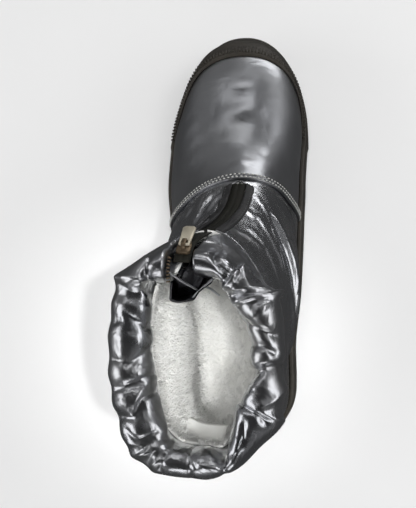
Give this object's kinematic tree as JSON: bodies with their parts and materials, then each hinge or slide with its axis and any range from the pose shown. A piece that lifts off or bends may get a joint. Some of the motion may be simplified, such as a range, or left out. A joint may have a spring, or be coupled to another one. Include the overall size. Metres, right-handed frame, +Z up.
{
  "type": "winter ankle boot",
  "caption": "Low padded winter boot in dark metallic nylon with a front zip, a gathered cuff, white fur inside and a moulded black rubber cup sole with a toe guard.",
  "frame": {"origin": "on the floor under the middle of the boot's box", "axes": "+X from heel to toe, +Y to the outer side of the left foot, +Z up"},
  "size_m": [0.2738, 0.0987, 0.183],
  "materials": {
    "rubber": "matt moulded rubber, warm black",
    "nylon": "glossy metallic coating on padded nylon, dark pewter grey",
    "dark_nylon": "glossy dark coated nylon",
    "fur": "short white pile",
    "tape": "matt black coated tape",
    "metal": "satin pale bronze plating"
  },
  "bodies": {
    "boot": {"sole": "rubber", "toe_guard": "rubber", "upper": "nylon", "vamp_seam": "nylon", "cuff": "nylon", "gusset": "dark_nylon", "insole": "fur", "zip_tape": "tape", "zip_slider": "metal"},
    "pull_tab": {"zip_pull_tab": "metal"}
  },
  "joints": [
    {"name": "pull_tab_hinge", "type": "hinge", "parent": "boot", "child": "pull_tab", "pos_m": [-0.01837, 0.01036, 0.17059], "axis": [-0.0431, -0.998, 0.0464], "range_deg": [0, 150]}
  ]
}
